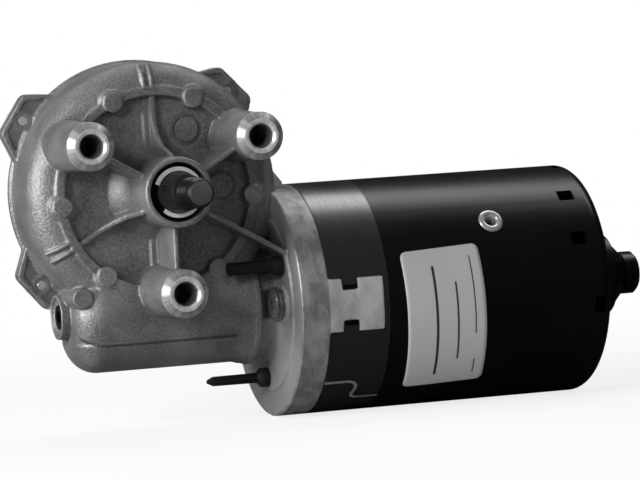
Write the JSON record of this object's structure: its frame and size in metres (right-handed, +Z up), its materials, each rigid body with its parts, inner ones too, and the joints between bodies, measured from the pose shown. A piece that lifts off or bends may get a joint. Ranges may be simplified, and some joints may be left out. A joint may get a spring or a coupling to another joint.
{
  "type": "wiper motor",
  "caption": "Permanent-magnet wiper motor with worm gearbox, tapped mounting bosses and a knurled, threaded output shaft.",
  "frame": {"origin": "on the output shaft's axis, in the plane of the three mounting boss faces", "axes": "-Y along the output shaft towards its threaded end, +X along the electric motor towards its rear, +Z up"},
  "size_m": [0.2198, 0.1044, 0.1226],
  "materials": {
    "cast_case": "fine-grained as-cast aluminium, machined boss ends",
    "sintered_bronze": "oil-filled sintered bronze",
    "black_rubber": "smooth black rubber",
    "gasket_rubber": "black flat gasket",
    "zinc_steel": "zinc-plated steel",
    "dark_spring_steel": "blackened steel",
    "spring_steel": "plain spring steel",
    "shaft_steel": "ground and rolled steel",
    "bearing_steel": "polished bearing steel",
    "core_steel": "stacked electrical steel",
    "cover_steel": "galvanised sheet steel",
    "wheel_plastic": "natural moulded polymer",
    "black_plastic": "black moulded polymer",
    "cage_plastic": "brown moulded polymer",
    "laminate": "paper laminate board",
    "contact_brass": "rolled brass",
    "winding_copper": "enamelled and bare copper",
    "ferrite": "sintered ferrite",
    "carbon": "carbon and copper brush",
    "capacitor_case": "dipped film capacitor",
    "can_paint": "gloss black paint, bare dark band at the open end",
    "label_foil": "bare silver foil"
  },
  "bodies": {
    "case": {"gear_housing": "cast_case", "neck_bushes": "sintered_bronze", "shaft_seal": "black_rubber", "neck_washer": "zinc_steel", "thrust_washer": "shaft_steel", "cover_gasket": "gasket_rubber", "back_cover": "cover_steel", "cover_screws": "zinc_steel", "shaft_button": "black_plastic", "contact_carrier": "black_plastic", "parking_fingers": "contact_brass", "terminal_blades": "contact_brass", "terminal_socket": "black_plastic", "worm_end_bush": "sintered_bronze", "adjusting_screw": "dark_spring_steel", "thrust_piece": "shaft_steel", "bearing_outer_ring": "bearing_steel", "bearing_retainer": "zinc_steel", "flange_screws": "zinc_steel", "flange_washers": "zinc_steel", "rubber_plugs": "black_rubber", "brush_plate": "laminate", "brush_boxes": "contact_brass", "choke_coils": "winding_copper", "choke_cores": "ferrite", "suppression_capacitor": "capacitor_case", "motor_can": "can_paint", "eyelet_rivets": "zinc_steel", "magnets": "ferrite", "magnet_clips": "spring_steel", "rear_bush": "sintered_bronze", "bush_retainer": "spring_steel", "rating_label": "label_foil", "brush_spring_1": "spring_steel", "brush_spring_2": "spring_steel", "brush_spring_3": "spring_steel"},
    "output": {"output_shaft": "shaft_steel", "worm_wheel": "wheel_plastic", "drive_plate": "zinc_steel", "parking_disc": "contact_brass", "retaining_ring": "spring_steel"},
    "armature": {"armature_shaft": "shaft_steel", "armature_core": "core_steel", "core_insulators": "laminate", "armature_windings": "winding_copper", "commutator": "winding_copper", "commutator_hub": "cage_plastic", "bearing_inner_ring": "bearing_steel"},
    "ball_cage": {"bearing_balls": "bearing_steel", "bearing_cage": "cage_plastic"},
    "brush_1": {"brush_1": "carbon"},
    "brush_2": {"brush_2": "carbon"},
    "brush_3": {"brush_3": "carbon"}
  },
  "joints": [
    {"name": "output_spin", "type": "hinge", "parent": "case", "child": "output", "pos_m": [0, 0.0425, 0], "axis": [0, -1, 0], "continuous": true},
    {"name": "armature_spin", "type": "hinge", "parent": "case", "child": "armature", "pos_m": [0, 0.0425, -0.04], "axis": [1, 0, 0], "continuous": true},
    {"name": "ball_cage_spin", "type": "hinge", "parent": "case", "child": "ball_cage", "pos_m": [0.048, 0.0425, -0.04], "axis": [1, 0, 0], "continuous": true},
    {"name": "brush_1_slide", "type": "slide", "parent": "case", "child": "brush_1", "axis": [0, -1, 0], "range_m": [0, 0.004], "stiffness_N_per_m": 100, "deforming": ["brush_spring_1"]},
    {"name": "brush_2_slide", "type": "slide", "parent": "case", "child": "brush_2", "axis": [0, 1, 0], "range_m": [0, 0.004], "stiffness_N_per_m": 100, "deforming": ["brush_spring_2"]},
    {"name": "brush_3_slide", "type": "slide", "parent": "case", "child": "brush_3", "axis": [0, 0.5, -0.866], "range_m": [0, 0.004], "stiffness_N_per_m": 100, "deforming": ["brush_spring_3"]}
  ],
  "couplings": [
    {"joint": "armature_spin", "follows": "output_spin", "ratio": -45},
    {"joint": "ball_cage_spin", "follows": "output_spin", "ratio": -16.55}
  ]
}
